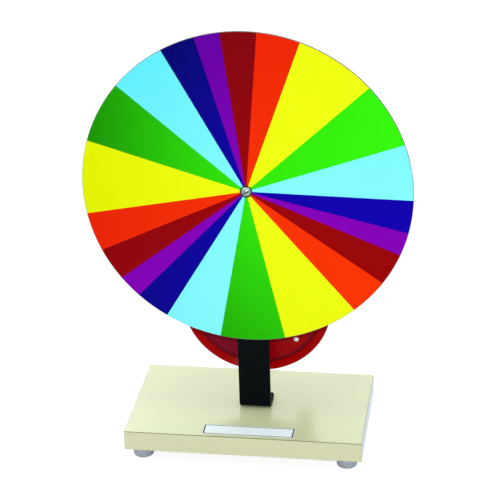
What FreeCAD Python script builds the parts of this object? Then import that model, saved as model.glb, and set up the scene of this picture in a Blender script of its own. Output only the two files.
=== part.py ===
import FreeCAD, Part
import math
import os

# Colour disc on a stand, turned by a crank through a belt, for a lesson on mixing colours.
# Millimetres. X runs to the right, Y away from the viewer and Z up.
# The disc and the drive wheel turn about lines along Y at X = 0.
# Z = 0 is the table under the feet, and Y = 0 is the middle of the whole depth.

# Base
base_width = 224.0
base_depth = 131.0
board_thickness = 18.5
laminate_thickness = 1.0
laminate_bevel = 0.3
upright_offset = 5.0  # the upright stands this far to the right of the middle of the base

# Label plate, near the front edge and in line with the upright
label_width = 86.0
label_depth = 16.5
label_thickness = 0.5
label_margin = 3.5
label_corner_radius = 0.8

# Rubber feet and their screws
foot_height = 12.0
foot_top_radius = 11.0
foot_bottom_radius = 9.4
foot_edge_radius = 1.2
foot_inset = 15.0
foot_recess_radius = 4.8
foot_recess_depth = 7.5
foot_screw_radius = 2.0
foot_screw_grip = 13.0
foot_screw_head_radius = 3.8
foot_screw_head_height = 2.4
foot_washer_radius = 4.5
foot_washer_thickness = 1.0

# Upright, a flat strip with a foot bent backwards
strip_width = 30.0
strip_thickness = 4.0
strip_bend = 3.0
strip_foot_length = 26.0
strip_setback = 54.5
strip_above_disc_axis = 22.0
strip_corner_radius = 6.0
strip_foot_corner_radius = 2.0
strip_edge_radius = 0.6

# Bolts that hold the foot of the upright to the base
strip_bolt_radius = 2.5
strip_bolt_spacing = 16.0
strip_bolt_setback = 17.0
strip_bolt_head_radius = 4.6
strip_bolt_head_height = 2.8
strip_bolt_proud = 1.0
strip_bolt_pocket_radius = 7.0
strip_bolt_pocket_depth = 8.0
strip_washer_radius = 5.5
strip_washer_thickness = 1.0
strip_nut_flats = 8.0
strip_nut_thickness = 4.0

# Heights of the two axes above the top of the base
disc_axis_height = 233.0
wheel_axis_height = 99.0

# Disc and its coloured film
disc_radius = 150.0
disc_thickness = 1.5
film_thickness = 0.25
film_margin = 0.4
film_hole_radius = 4.6
colour_repeats = 3
first_colour_angle = -7.5  # degrees clockwise from the top
colour_widths = {
    "red": 12.5,
    "orange": 14.7,
    "yellow": 27.7,
    "green": 23.4,
    "light_blue": 20.5,
    "dark_blue": 12.4,
    "violet": 8.8,
}

# Disc hub and centre screw
hub_flange_radius = 22.0
hub_flange_thickness = 3.0
hub_boss_radius = 10.0
hub_boss_length = 5.5
centre_washer_radius = 5.5
centre_washer_thickness = 0.8
centre_screw_radius = 2.5
centre_screw_length = 10.0
centre_screw_head_radius = 4.5
centre_screw_head_height = 2.5
centre_screw_slot_angle = 27.0

# Disc shaft, its bushes and their housing
shaft_radius = 4.0
shaft_set_back = 0.3  # the shaft's end lies this far behind the front of the film
shaft_proud = 1.0
shaft_chamfer = 0.5
tapped_hole_margin = 2.0
bush_radius = 6.0
bush_length = 7.0
bush_flange_radius = 7.5
bush_flange_thickness = 1.2
housing_radius = 8.0
housing_flange_radius = 13.0
housing_flange_thickness = 3.0
housing_bore_radius = 5.0
housing_washer_thickness = 1.2
housing_washer_radius = 13.0
housing_nut_flats = 24.0
housing_nut_thickness = 6.0
housing_proud = 2.3
thrust_washer_radius = 7.0
thrust_washer_thickness = 1.0

# Belt and the V of both its pulleys
belt_radius = 2.0
groove_half_angle = 30.0  # degrees
belt_clearance = 0.25

# Small pulley on the disc shaft
pulley_rim_radius = 15.0
pulley_half_width = 6.0
pulley_vertex_radius = 7.5
pulley_groove_floor = 1.0  # the floor of the V lies this far outside its vertex
pulley_neck_radius = 7.0  # in front of the rim, up to the thrust washer
pulley_boss_radius = 9.0  # behind the rim, for the grub screw
pulley_boss_length = 7.0

# Drive wheel, two pressed dishes back to back
wheel_rim_radius = 71.0
wheel_distance = 30.0  # from the front of the upright to the middle of the wheel
dish_thickness = 1.2
dish_bend = 0.6
rim_half_width = 5.5
groove_depth = 6.8  # from the rim to where the flanks of the V leave the middle plane
root_width = 1.2
step_width = 1.6
web_gap = 4.4  # between the two webs

# Hub of the drive wheel
wheel_hub_radius = 10.0
wheel_hub_length = 24.0
wheel_flange_radius = 19.0
wheel_flange_thickness = 2.5
wheel_bush_radius = 7.0
wheel_bush_proud = 0.3
hub_rivet_count = 3
hub_rivet_circle = 14.5
hub_rivet_radius = 2.0
rivet_head_radius = 3.2
rivet_head_height = 1.3

# Axle of the drive wheel
journal_radius = 5.0
shoulder_flats = 16.0
axle_thread_radius = 4.0
axle_proud = 1.2
axle_washer_radius = 8.0
axle_washer_thickness = 1.6
axle_nut_flats = 13.0
axle_nut_thickness = 4.5
end_washer_radius = 10.0
end_washer_thickness = 1.5
end_screw_radius = 2.5
end_screw_length = 10.0
end_screw_head_radius = 4.6
end_screw_head_height = 2.8

# Crank pin, riveted through the wheel
crank_inset = 9.4  # from the rim of the flat web in to the middle of the pin
crank_angle = -44.4  # degrees from the right-hand side, seen from the front
tenon_radius = 2.0
tenon_head_radius = 2.5
tenon_head_height = 1.2
pin_spacer_radius = 4.5
pin_collar_radius = 6.0
pin_collar_length = 8.0
pin_radius = 3.0

# Grip that turns on the crank pin
grip_length = 50.0
grip_front_radius = 7.0
grip_neck_radius = 6.4
grip_neck_station = 9.0
grip_belly_radius = 10.5
grip_belly_station = 33.0
grip_end_radius = 8.8
grip_edge_radius = 1.2
grip_recess_radius = 6.2
grip_recess_depth = 4.0
grip_washer_radius = 5.4
grip_washer_thickness = 1.0
grip_screw_radius = 1.5
grip_screw_length = 8.0
grip_screw_head_radius = 2.8
grip_screw_head_height = 1.8

# Grub screws in the disc hub and in the small pulley
grub_radius = 2.0
grub_sunk = 0.5
grub_socket_flats = 2.0
grub_socket_depth = 2.0

# Screw slots
slot_share = 0.24  # width of a slot as a share of the head's radius
slot_depth_share = 0.5

# Clearances
running_clearance = 0.05  # radial, between a turning piece and what it turns on
seat_clearance = 0.02  # radial, between pieces that are pressed or screwed together
hole_clearance = 0.2  # radial, round a bolt that passes through
end_play = 0.2  # along an axle, beside a turning piece

X_AXIS = FreeCAD.Vector(1, 0, 0)
Y_AXIS = FreeCAD.Vector(0, 1, 0)
Z_AXIS = FreeCAD.Vector(0, 0, 1)

# Heights
board_bottom_z = foot_height
board_top_z = board_bottom_z + board_thickness
base_top_z = board_top_z + laminate_thickness
disc_z = base_top_z + disc_axis_height
wheel_z = base_top_z + wheel_axis_height

# Stations from front to back
web_outer = web_gap / 2 + dish_thickness
grip_station = wheel_distance + web_outer + pin_collar_length + end_play
strip_front_y = (strip_setback - grip_station - grip_length) / 2
strip_back_y = strip_front_y + strip_thickness
base_front_y = strip_front_y - strip_setback
base_centre_y = base_front_y + base_depth / 2
wheel_y = strip_front_y + wheel_distance
grip_front_y = strip_front_y + grip_station
grip_back_y = grip_front_y + grip_length

housing_front_y = strip_front_y - housing_flange_thickness
hub_back_y = housing_front_y - bush_flange_thickness - thrust_washer_thickness - 2 * end_play
hub_flange_back_y = hub_back_y - hub_boss_length
disc_back_y = hub_flange_back_y - hub_flange_thickness
film_back_y = disc_back_y - disc_thickness
film_front_y = film_back_y - film_thickness
nut_back_y = strip_back_y + housing_washer_thickness + housing_nut_thickness
housing_back_y = nut_back_y + housing_proud
rear_thrust_y = housing_back_y + bush_flange_thickness + end_play
pulley_front_y = rear_thrust_y + thrust_washer_thickness + end_play
rim_front_y = wheel_y - pulley_half_width
rim_back_y = wheel_y + pulley_half_width
pulley_back_y = rim_back_y + pulley_boss_length

hub_half = wheel_hub_length / 2
journal_front_y = wheel_y - hub_half - wheel_bush_proud - end_play
journal_back_y = wheel_y + hub_half + wheel_bush_proud + end_play

# Radii of the drive wheel, from the rim inwards
root_radius = wheel_rim_radius - groove_depth
root_start = root_radius - root_width
step_start = root_start - step_width
crank_radius = step_start - crank_inset

# Sideways places
base_centre_x = -upright_offset
crank_x = crank_radius * math.cos(math.radians(crank_angle))
crank_z = wheel_z + crank_radius * math.sin(math.radians(crank_angle))

# Belt line on each pulley
groove_slope = math.tan(math.radians(groove_half_angle))
belt_seat = (belt_radius + belt_clearance) / math.sin(math.radians(groove_half_angle))
wheel_pitch_radius = root_radius + belt_seat
pulley_pitch_radius = pulley_vertex_radius + belt_seat


def point(x, y, z):
    return FreeCAD.Vector(x, y, z)


def rod(radius, front_y, back_y, x=0.0, z=0.0):
    """Cylinder along Y."""
    return Part.makeCylinder(radius, back_y - front_y, point(x, front_y, z), Y_AXIS)


def ring(outer, inner, front_y, back_y, x=0.0, z=0.0):
    """Flat ring or tube along Y."""
    return rod(outer, front_y, back_y, x, z).cut(rod(inner, front_y, back_y, x, z))


def post(radius, low_z, high_z, x, y):
    """Cylinder along Z."""
    return Part.makeCylinder(radius, high_z - low_z, point(x, y, low_z), Z_AXIS)


def collar(outer, inner, low_z, high_z, x, y):
    """Flat ring or tube along Z."""
    return post(outer, low_z, high_z, x, y).cut(post(inner, low_z, high_z, x, y))


def turned(profile, x=0.0, z=0.0):
    """Body turned about a line along Y, from corners given as (y, radius)."""
    corners = [point(x, y, z + radius) for y, radius in profile]
    outline = Part.makePolygon(corners + corners[:1])
    return Part.Face(outline).revolve(point(x, 0, z), Y_AXIS, 360)


def rounded_wire(corners):
    """Closed wire through corners given as (point, radius), with an arc at each radius."""
    bends = []
    for index, (corner, radius) in enumerate(corners):
        to_last = (corners[index - 1][0] - corner).normalize()
        to_next = (corners[(index + 1) % len(corners)][0] - corner).normalize()
        if radius == 0:
            bends.append((corner, None, corner))
            continue
        half = to_last.getAngle(to_next) / 2
        reach = radius / math.tan(half)
        inward = (to_last + to_next).normalize()
        middle = corner + inward * (radius / math.sin(half) - radius)
        bends.append((corner + to_last * reach, middle, corner + to_next * reach))
    edges = []
    for index, (start, middle, end) in enumerate(bends):
        if middle is not None:
            edges.append(Part.Arc(start, middle, end).toShape())
        edges.append(Part.LineSegment(end, bends[(index + 1) % len(bends)][0]).toShape())
    return Part.Wire(edges)


def sheet_outline(path, thickness, bend, side):
    """Outline of a bent sheet in a plane across X.

    The sheet lies on one side of the path: side is 1 to the left of it, looking
    against X, and -1 to the right. bend is the inner radius of its bends."""
    near = []
    far = []
    for index, corner in enumerate(path):
        last_way = corner - path[index - 1] if index > 0 else path[1] - corner
        next_way = path[index + 1] - corner if index < len(path) - 1 else last_way
        last_way.normalize()
        next_way.normalize()
        turn = last_way.cross(next_way).x
        across = (X_AXIS.cross(last_way) + X_AXIS.cross(next_way)).normalize() * side
        stretch = 1 / across.dot(X_AXIS.cross(next_way) * side)
        if abs(turn) < 1e-9:
            radii = (0, 0)
        elif turn * side > 0:
            radii = (bend + thickness, bend)
        else:
            radii = (bend, bend + thickness)
        near.append((corner, radii[0]))
        far.append((corner + across * thickness * stretch, radii[1]))
    return rounded_wire(near + far[::-1])


def placed(shape, position, direction):
    """Copy of a shape built along Z, turned to a direction and moved."""
    copy = shape.copy()
    copy.Placement = FreeCAD.Placement(position, FreeCAD.Rotation(Z_AXIS, direction))
    return copy


def dome(radius, height):
    """Round head on the plane Z = 0."""
    ball = (radius ** 2 + height ** 2) / (2 * height)
    start = math.degrees(math.asin((ball - height) / ball))
    return Part.makeSphere(ball, point(0, 0, height - ball), Z_AXIS, start, 90, 360)


def slotted_screw(radius, length, head_radius, head_height, slot_angle=0.0):
    """Round-head screw along Z with its head above Z = 0 and a slot across it."""
    width = head_radius * slot_share
    depth = head_height * slot_depth_share
    slot = Part.makeBox(3 * head_radius, width, depth + head_height)
    slot.translate(point(-1.5 * head_radius, -width / 2, head_height - depth))
    slot.rotate(point(0, 0, 0), Z_AXIS, slot_angle)
    shank = Part.makeCylinder(radius, length, point(0, 0, -length), Z_AXIS)
    return dome(head_radius, head_height).cut(slot).fuse(shank).removeSplitter()


def hexagon(flats, height):
    """Hexagonal bar along Z from Z = 0."""
    corner_radius = flats / math.sqrt(3)
    corners = []
    for index in range(7):
        angle = math.radians(60 * index)
        corners.append(point(corner_radius * math.cos(angle), corner_radius * math.sin(angle), 0))
    return Part.Face(Part.makePolygon(corners)).extrude(point(0, 0, height))


def hex_nut(flats, thickness, bore_radius):
    """Nut along Z from Z = 0, with the corners of its top turned off."""
    corner_radius = flats / math.sqrt(3)
    lost = corner_radius - flats / 2
    cone = Part.makeCone(corner_radius + thickness - lost / 2, corner_radius - lost, thickness)
    bore = Part.makeCylinder(bore_radius, thickness)
    return hexagon(flats, thickness).common(cone).cut(bore)


def grub_screw(tip, head_radius):
    """Grub screw along Z from its tip to its sunk head, with a hexagon socket."""
    length = head_radius - grub_sunk - tip
    socket = hexagon(grub_socket_flats, grub_socket_depth)
    socket.translate(point(0, 0, length - grub_socket_depth))
    return Part.makeCylinder(grub_radius, length).cut(socket)


# Places that repeat
def foot_places():
    across = base_width / 2 - foot_inset
    along = base_depth / 2 - foot_inset
    places = []
    for side_x in (-1, 1):
        for side_y in (-1, 1):
            places.append((base_centre_x + side_x * across, base_centre_y + side_y * along))
    return places


def strip_bolt_places():
    y = strip_front_y + strip_bolt_setback
    return [(-strip_bolt_spacing / 2, y), (strip_bolt_spacing / 2, y)]


def hub_rivet_places():
    places = []
    for index in range(hub_rivet_count):
        angle = math.radians(90 + 360 / hub_rivet_count * index)
        x = hub_rivet_circle * math.cos(angle)
        places.append((x, wheel_z + hub_rivet_circle * math.sin(angle)))
    return places


# Base
def base_slab(inset, low_z, high_z):
    """Block over the whole base, drawn in by an inset on its four sides."""
    corner = point(
        base_centre_x - base_width / 2 + inset, base_front_y + inset, low_z
    )
    return Part.makeBox(
        base_width - 2 * inset, base_depth - 2 * inset, high_z - low_z, corner
    )


def drill_strip_bolts(shape, low_z, high_z):
    for x, y in strip_bolt_places():
        shape = shape.cut(post(strip_bolt_radius + hole_clearance, low_z, high_z, x, y))
    return shape


def base_board():
    board = base_slab(laminate_thickness, board_bottom_z, board_top_z)
    board = drill_strip_bolts(board, board_bottom_z, board_top_z)
    pocket_top_z = board_bottom_z + strip_bolt_pocket_depth
    for x, y in strip_bolt_places():
        board = board.cut(post(strip_bolt_pocket_radius, board_bottom_z, pocket_top_z, x, y))
    hole_top_z = board_bottom_z + foot_screw_grip + hole_clearance
    for x, y in foot_places():
        hole_radius = foot_screw_radius + seat_clearance
        board = board.cut(post(hole_radius, board_bottom_z, hole_top_z, x, y))
    return board


def top_laminate():
    sheet = base_slab(0, board_top_z, base_top_z)
    rim = [edge for edge in sheet.Edges if edge.BoundBox.ZMin > base_top_z - 1e-6]
    sheet = sheet.makeChamfer(laminate_bevel, rim)
    return drill_strip_bolts(sheet, board_top_z, base_top_z)


def long_edging(front_y):
    corner = point(base_centre_x - base_width / 2, front_y, board_bottom_z)
    return Part.makeBox(base_width, laminate_thickness, board_thickness, corner)


def short_edging(left_x):
    corner = point(left_x, base_front_y + laminate_thickness, board_bottom_z)
    length = base_depth - 2 * laminate_thickness
    return Part.makeBox(laminate_thickness, length, board_thickness, corner)


def front_edging():
    return long_edging(base_front_y)


def rear_edging():
    return long_edging(base_front_y + base_depth - laminate_thickness)


def left_edging():
    return short_edging(base_centre_x - base_width / 2)


def right_edging():
    return short_edging(base_centre_x + base_width / 2 - laminate_thickness)


def label_plate():
    corner = point(-label_width / 2, base_front_y + label_margin, base_top_z)
    plate = Part.makeBox(label_width, label_depth, label_thickness, corner)
    upright_edges = [edge for edge in plate.Edges if edge.BoundBox.ZLength > label_thickness / 2]
    return plate.makeFillet(label_corner_radius, upright_edges)


# Feet
def rubber_foot(x, y):
    inner = foot_screw_radius + hole_clearance
    corners = [
        (point(x + inner, y, board_bottom_z), 0),
        (point(x + foot_top_radius, y, board_bottom_z), 0),
        (point(x + foot_bottom_radius, y, 0), foot_edge_radius),
        (point(x + foot_recess_radius, y, 0), 0),
        (point(x + foot_recess_radius, y, foot_recess_depth), 0),
        (point(x + inner, y, foot_recess_depth), 0),
    ]
    return Part.Face(rounded_wire(corners)).revolve(point(x, y, 0), Z_AXIS, 360)


def rubber_feet():
    return Part.makeCompound([rubber_foot(x, y) for x, y in foot_places()])


def foot_washers():
    low_z = foot_recess_depth - foot_washer_thickness
    inner = foot_screw_radius + hole_clearance
    washers = []
    for x, y in foot_places():
        washers.append(collar(foot_washer_radius, inner, low_z, foot_recess_depth, x, y))
    return Part.makeCompound(washers)


def foot_screws():
    head_z = foot_recess_depth - foot_washer_thickness
    length = foot_height - head_z + foot_screw_grip
    screw = slotted_screw(
        foot_screw_radius, length, foot_screw_head_radius, foot_screw_head_height
    )
    down = point(0, 0, -1)
    return Part.makeCompound([placed(screw, point(x, y, head_z), down) for x, y in foot_places()])


# Upright and its bolts
def strip_outline_edges(strip):
    """Edges between the broad faces and the narrow ones, all round the strip."""
    edges = []
    for edge in strip.Edges:
        across_bend = abs(edge.BoundBox.XLength - strip_width) < 1e-6
        across_side = abs(edge.Length - strip_thickness) < 1e-6
        if not across_bend and not across_side:
            edges.append(edge)
    return edges


def upright_strip():
    top_z = disc_z + strip_above_disc_axis
    path = [
        point(0, strip_front_y, top_z),
        point(0, strip_front_y, base_top_z),
        point(0, strip_front_y + strip_foot_length, base_top_z),
    ]
    profile = Part.Face(sheet_outline(path, strip_thickness, strip_bend, 1))
    profile.translate(point(-strip_width / 2, 0, 0))
    strip = profile.extrude(point(strip_width, 0, 0))
    top_corners = [
        edge for edge in strip.Edges
        if edge.BoundBox.ZMin > top_z - 1e-6 and edge.BoundBox.XLength < 1e-6
    ]
    strip = strip.makeFillet(strip_corner_radius, top_corners)
    foot_back_y = strip_front_y + strip_foot_length
    foot_corners = [
        edge for edge in strip.Edges
        if edge.BoundBox.YMin > foot_back_y - 1e-6 and edge.BoundBox.XLength < 1e-6
    ]
    strip = strip.makeFillet(strip_foot_corner_radius, foot_corners)
    strip = strip.makeFillet(strip_edge_radius, strip_outline_edges(strip))
    strip = strip.cut(rod(housing_radius + seat_clearance, strip_front_y, strip_back_y, 0, disc_z))
    axle_hole = axle_thread_radius + hole_clearance
    strip = strip.cut(rod(axle_hole, strip_front_y, strip_back_y, 0, wheel_z))
    return drill_strip_bolts(strip, base_top_z, base_top_z + strip_thickness)


def strip_bolt_nut_z():
    pocket_top_z = board_bottom_z + strip_bolt_pocket_depth
    return pocket_top_z - strip_washer_thickness


def strip_bolts():
    head_z = base_top_z + strip_thickness
    length = head_z - strip_bolt_nut_z() + strip_nut_thickness + strip_bolt_proud
    bolt = slotted_screw(
        strip_bolt_radius, length, strip_bolt_head_radius, strip_bolt_head_height
    )
    return Part.makeCompound(
        [placed(bolt, point(x, y, head_z), Z_AXIS) for x, y in strip_bolt_places()]
    )


def strip_washers():
    low_z = strip_bolt_nut_z()
    inner = strip_bolt_radius + hole_clearance
    washers = []
    for x, y in strip_bolt_places():
        washers.append(
            collar(strip_washer_radius, inner, low_z, low_z + strip_washer_thickness, x, y)
        )
    return Part.makeCompound(washers)


def strip_nuts():
    nut = hex_nut(strip_nut_flats, strip_nut_thickness, strip_bolt_radius + seat_clearance)
    down = point(0, 0, -1)
    nut_z = strip_bolt_nut_z()
    return Part.makeCompound([placed(nut, point(x, y, nut_z), down) for x, y in strip_bolt_places()])


# Bearing of the disc shaft
def bearing_housing():
    bush_seat = bush_radius + seat_clearance
    profile = [
        (housing_front_y, bush_seat),
        (housing_front_y, housing_flange_radius),
        (strip_front_y, housing_flange_radius),
        (strip_front_y, housing_radius),
        (housing_back_y, housing_radius),
        (housing_back_y, bush_seat),
        (housing_back_y - bush_length, bush_seat),
        (housing_back_y - bush_length, housing_bore_radius),
        (housing_front_y + bush_length, housing_bore_radius),
        (housing_front_y + bush_length, bush_seat),
    ]
    return turned(profile, 0, disc_z)


def housing_washer():
    back_y = strip_back_y + housing_washer_thickness
    inner = housing_radius + hole_clearance
    return ring(housing_washer_radius, inner, strip_back_y, back_y, 0, disc_z)


def housing_nut():
    nut = hex_nut(housing_nut_flats, housing_nut_thickness, housing_radius + seat_clearance)
    return placed(nut, point(0, strip_back_y + housing_washer_thickness, disc_z), Y_AXIS)


def shaft_bush(face_y, way):
    """Flanged bush whose flange stands out of the housing at face_y, against its way in."""
    bore = shaft_radius + running_clearance
    profile = [
        (face_y - way * bush_flange_thickness, bore),
        (face_y - way * bush_flange_thickness, bush_flange_radius),
        (face_y, bush_flange_radius),
        (face_y, bush_radius),
        (face_y + way * bush_length, bush_radius),
        (face_y + way * bush_length, bore),
    ]
    return turned(profile, 0, disc_z)


def shaft_bushes():
    return Part.makeCompound([shaft_bush(housing_front_y, 1), shaft_bush(housing_back_y, -1)])


# Disc, its film and what turns with it
def disc_plate():
    hole = shaft_radius + seat_clearance
    return ring(disc_radius, hole, film_back_y, disc_back_y, 0, disc_z)


def film_point(radius, degrees):
    """Point on the back of the film, its angle measured clockwise from the top."""
    angle = math.radians(degrees)
    return point(radius * math.sin(angle), film_back_y, disc_z + radius * math.cos(angle))


def film_sector(start, width):
    middle = start + width / 2
    end = start + width
    outer = disc_radius - film_margin
    inner = film_hole_radius
    edges = [
        Part.Arc(film_point(outer, start), film_point(outer, middle), film_point(outer, end)).toShape(),
        Part.LineSegment(film_point(outer, end), film_point(inner, end)).toShape(),
        Part.Arc(film_point(inner, end), film_point(inner, middle), film_point(inner, start)).toShape(),
        Part.LineSegment(film_point(inner, start), film_point(outer, start)).toShape(),
    ]
    return Part.Face(Part.Wire(edges)).extrude(point(0, -film_thickness, 0))


def colour_sectors(colour):
    """All the sectors of one colour, one in each repeat of the seven."""
    names = list(colour_widths)
    offset = sum(colour_widths[name] for name in names[:names.index(colour)])
    sectors = []
    for index in range(colour_repeats):
        start = first_colour_angle + offset + 360 / colour_repeats * index
        sectors.append(film_sector(start, colour_widths[colour]))
    return Part.makeCompound(sectors)


def disc_hub():
    bore = shaft_radius + seat_clearance
    profile = [
        (disc_back_y, bore),
        (disc_back_y, hub_flange_radius),
        (hub_flange_back_y, hub_flange_radius),
        (hub_flange_back_y, hub_boss_radius),
        (hub_back_y, hub_boss_radius),
        (hub_back_y, bore),
    ]
    hub = turned(profile, 0, disc_z)
    return hub.cut(grub_hole((hub_flange_back_y + hub_back_y) / 2, hub_boss_radius))


def grub_hole(y, boss_radius):
    return Part.makeCylinder(grub_radius + seat_clearance, boss_radius, point(0, y, disc_z), X_AXIS)


def placed_grub_screw(y, boss_radius):
    tip = shaft_radius + seat_clearance
    return placed(grub_screw(tip, boss_radius), point(tip, y, disc_z), X_AXIS)


def hub_grub_screw():
    return placed_grub_screw((hub_flange_back_y + hub_back_y) / 2, hub_boss_radius)


def disc_shaft():
    front_y = film_front_y + shaft_set_back
    back_y = pulley_back_y + shaft_proud
    tap_end_y = film_front_y + centre_screw_length + tapped_hole_margin
    tap = centre_screw_radius + seat_clearance
    profile = [
        (front_y, tap),
        (front_y, shaft_radius),
        (back_y - shaft_chamfer, shaft_radius),
        (back_y, shaft_radius - shaft_chamfer),
        (back_y, 0),
        (tap_end_y, 0),
        (tap_end_y, tap),
    ]
    return turned(profile, 0, disc_z)


def centre_washer():
    front_y = film_front_y - centre_washer_thickness
    inner = centre_screw_radius + hole_clearance
    return ring(centre_washer_radius, inner, front_y, film_front_y, 0, disc_z)


def centre_screw():
    screw = slotted_screw(
        centre_screw_radius,
        centre_screw_length,
        centre_screw_head_radius,
        centre_screw_head_height,
        centre_screw_slot_angle,
    )
    return placed(screw, point(0, film_front_y - centre_washer_thickness, disc_z), point(0, -1, 0))


def thrust_washers():
    inner = shaft_radius + running_clearance
    washers = []
    for front_y in (hub_back_y + end_play, rear_thrust_y):
        back_y = front_y + thrust_washer_thickness
        washers.append(ring(thrust_washer_radius, inner, front_y, back_y, 0, disc_z))
    return Part.makeCompound(washers)


def small_pulley():
    bore = shaft_radius + seat_clearance
    mouth = (pulley_rim_radius - pulley_vertex_radius) * groove_slope
    floor = pulley_groove_floor * groove_slope
    floor_radius = pulley_vertex_radius + pulley_groove_floor
    profile = [
        (pulley_front_y, bore),
        (pulley_front_y, pulley_neck_radius),
        (rim_front_y, pulley_neck_radius),
        (rim_front_y, pulley_rim_radius),
        (wheel_y - mouth, pulley_rim_radius),
        (wheel_y - floor, floor_radius),
        (wheel_y + floor, floor_radius),
        (wheel_y + mouth, pulley_rim_radius),
        (rim_back_y, pulley_rim_radius),
        (rim_back_y, pulley_boss_radius),
        (pulley_back_y, pulley_boss_radius),
        (pulley_back_y, bore),
    ]
    pulley = turned(profile, 0, disc_z)
    return pulley.cut(grub_hole((rim_back_y + pulley_back_y) / 2, pulley_boss_radius))


def pulley_grub_screw():
    return placed_grub_screw((rim_back_y + pulley_back_y) / 2, pulley_boss_radius)


# Drive wheel
def drill_hub_rivets(shape, front_y, back_y):
    for x, z in hub_rivet_places():
        shape = shape.cut(rod(hub_rivet_radius + seat_clearance, front_y, back_y, x, z))
    return shape


def wheel_dish(way):
    """One pressed dish: way is 1 for the rear dish and -1 for the front one."""
    web = way * web_gap / 2
    flank_out = way * (wheel_rim_radius - root_radius) * groove_slope
    path = [
        (web, wheel_hub_radius + seat_clearance),
        (web, step_start),
        (0, root_start),
        (0, root_radius),
        (flank_out, wheel_rim_radius),
    ]
    corners = [point(0, wheel_y + across, wheel_z + radius) for across, radius in path]
    outline = sheet_outline(corners, dish_thickness, dish_bend, -way)
    dish = Part.Face(outline).revolve(point(0, 0, wheel_z), Y_AXIS, 360)
    reach = way * 2 * web_gap
    front_y = min(wheel_y, wheel_y + reach)
    back_y = max(wheel_y, wheel_y + reach)
    dish = drill_hub_rivets(dish, front_y, back_y)
    return dish.cut(rod(tenon_radius + seat_clearance, front_y, back_y, crank_x, crank_z))


def front_dish():
    return wheel_dish(-1)


def rear_dish():
    return wheel_dish(1)


def wheel_hub():
    bore = wheel_bush_radius + seat_clearance
    flange_front_y = wheel_y + web_outer
    flange_back_y = flange_front_y + wheel_flange_thickness
    profile = [
        (wheel_y - hub_half, bore),
        (wheel_y - hub_half, wheel_hub_radius),
        (flange_front_y, wheel_hub_radius),
        (flange_front_y, wheel_flange_radius),
        (flange_back_y, wheel_flange_radius),
        (flange_back_y, wheel_hub_radius),
        (wheel_y + hub_half, wheel_hub_radius),
        (wheel_y + hub_half, bore),
    ]
    return drill_hub_rivets(turned(profile, 0, wheel_z), flange_front_y, flange_back_y)


def hub_ring():
    front_y = wheel_y - web_outer - wheel_flange_thickness
    back_y = wheel_y - web_outer
    inner = wheel_hub_radius + seat_clearance
    return drill_hub_rivets(ring(wheel_flange_radius, inner, front_y, back_y, 0, wheel_z), front_y, back_y)


def hub_rivets():
    reach = web_outer + wheel_flange_thickness
    head = dome(rivet_head_radius, rivet_head_height)
    rivets = []
    for x, z in hub_rivet_places():
        rivet = rod(hub_rivet_radius, wheel_y - reach, wheel_y + reach, x, z)
        rivet = rivet.fuse(placed(head, point(x, wheel_y + reach, z), Y_AXIS))
        rivet = rivet.fuse(placed(head, point(x, wheel_y - reach, z), point(0, -1, 0)))
        rivets.append(rivet)
    return Part.makeCompound(rivets)


def wheel_bush():
    inner = journal_radius + running_clearance
    front_y = wheel_y - hub_half - wheel_bush_proud
    back_y = wheel_y + hub_half + wheel_bush_proud
    return ring(wheel_bush_radius, inner, front_y, back_y, 0, wheel_z)


# Axle of the drive wheel
def wheel_axle():
    thread_front_y = strip_front_y - axle_washer_thickness - axle_nut_thickness - axle_proud
    tap = end_screw_radius + seat_clearance
    tap_end_y = journal_back_y - end_screw_length - tapped_hole_margin
    profile = [
        (thread_front_y, 0),
        (thread_front_y, axle_thread_radius - shaft_chamfer),
        (thread_front_y + shaft_chamfer, axle_thread_radius),
        (strip_back_y, axle_thread_radius),
        (strip_back_y, journal_radius),
        (journal_back_y, journal_radius),
        (journal_back_y, tap),
        (tap_end_y, tap),
        (tap_end_y, 0),
    ]
    shoulder = placed(
        hexagon(shoulder_flats, journal_front_y - strip_back_y), point(0, strip_back_y, wheel_z), Y_AXIS
    )
    return turned(profile, 0, wheel_z).fuse(shoulder).removeSplitter()


def axle_washer():
    inner = axle_thread_radius + hole_clearance
    front_y = strip_front_y - axle_washer_thickness
    return ring(axle_washer_radius, inner, front_y, strip_front_y, 0, wheel_z)


def axle_nut():
    nut = hex_nut(axle_nut_flats, axle_nut_thickness, axle_thread_radius + seat_clearance)
    return placed(nut, point(0, strip_front_y - axle_washer_thickness, wheel_z), point(0, -1, 0))


def axle_end_washer():
    inner = end_screw_radius + hole_clearance
    back_y = journal_back_y + end_washer_thickness
    return ring(end_washer_radius, inner, journal_back_y, back_y, 0, wheel_z)


def axle_end_screw():
    screw = slotted_screw(
        end_screw_radius, end_screw_length, end_screw_head_radius, end_screw_head_height
    )
    return placed(screw, point(0, journal_back_y + end_washer_thickness, wheel_z), Y_AXIS)


# Crank pin and grip
def pin_spacer():
    front_y = wheel_y - web_gap / 2
    back_y = wheel_y + web_gap / 2
    inner = tenon_radius + seat_clearance
    return ring(pin_spacer_radius, inner, front_y, back_y, crank_x, crank_z)


def pin_end_y():
    return grip_back_y - grip_recess_depth + end_play


def crank_pin():
    collar_front_y = wheel_y + web_outer
    collar_back_y = collar_front_y + pin_collar_length
    tap = grip_screw_radius + seat_clearance
    tap_end_y = pin_end_y() - grip_screw_length - tapped_hole_margin
    profile = [
        (wheel_y - web_outer, 0),
        (wheel_y - web_outer, tenon_radius),
        (collar_front_y, tenon_radius),
        (collar_front_y, pin_collar_radius),
        (collar_back_y, pin_collar_radius),
        (collar_back_y, pin_radius),
        (pin_end_y(), pin_radius),
        (pin_end_y(), tap),
        (tap_end_y, tap),
        (tap_end_y, 0),
    ]
    head = dome(tenon_head_radius, tenon_head_height)
    head_place = point(crank_x, wheel_y - web_outer, crank_z)
    return turned(profile, crank_x, crank_z).fuse(placed(head, head_place, point(0, -1, 0)))


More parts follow.
